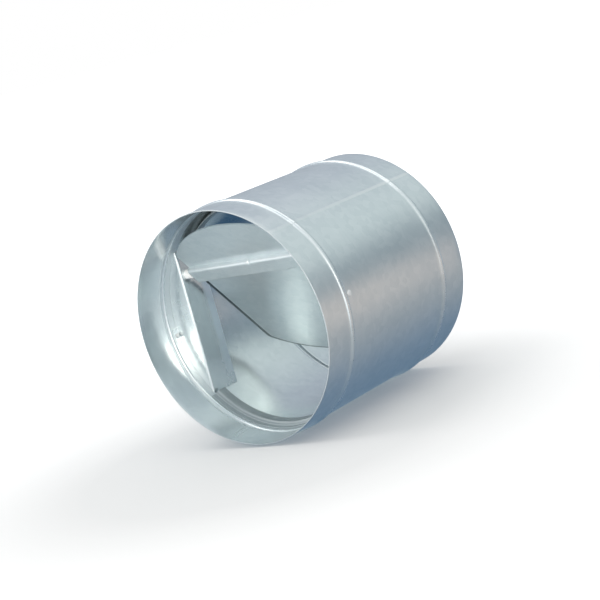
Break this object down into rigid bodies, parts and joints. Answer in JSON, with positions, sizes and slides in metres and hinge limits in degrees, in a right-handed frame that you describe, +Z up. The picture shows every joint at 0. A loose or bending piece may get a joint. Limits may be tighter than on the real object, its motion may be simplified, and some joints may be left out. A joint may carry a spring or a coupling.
{
  "type": "duct backdraft damper",
  "caption": "Round galvanised duct section with a bead near each end and a flat round blade on an off-centre axle, which lets air through one way and falls closed against back draught.",
  "frame": {"origin": "centre of the inlet rim, on the duct's axis", "axes": "+X along the blade's axle, +Y along the duct the way the air flows, +Z up, with the axle above the duct's axis"},
  "size_m": [0.1616, 0.158, 0.1616],
  "materials": {
    "casing_sheet": "hot-dip galvanised sheet, fine spangle",
    "fitting_sheet": "galvanised sheet, folded",
    "blade_sheet": "galvanised sheet, smooth",
    "axle_rod": "bright zinc plated rod",
    "bush_nylon": "natural white nylon",
    "rivet_metal": "bright"
  },
  "bodies": {
    "casing": {"casing": "casing_sheet", "right_bracket": "fitting_sheet", "left_bracket": "fitting_sheet", "bottom_stop": "fitting_sheet", "top_stop": "fitting_sheet", "right_bush": "bush_nylon", "left_bush": "bush_nylon", "bracket_rivets": "rivet_metal"},
    "blade": {"blade": "blade_sheet", "axle": "axle_rod", "axle_channel": "blade_sheet"}
  },
  "joints": [
    {"name": "blade_pivot", "type": "hinge", "parent": "casing", "child": "blade", "pos_m": [0, 0.0388, 0.0332], "axis": [1, 0, 0], "range_deg": [-40.7, 21.3]}
  ]
}
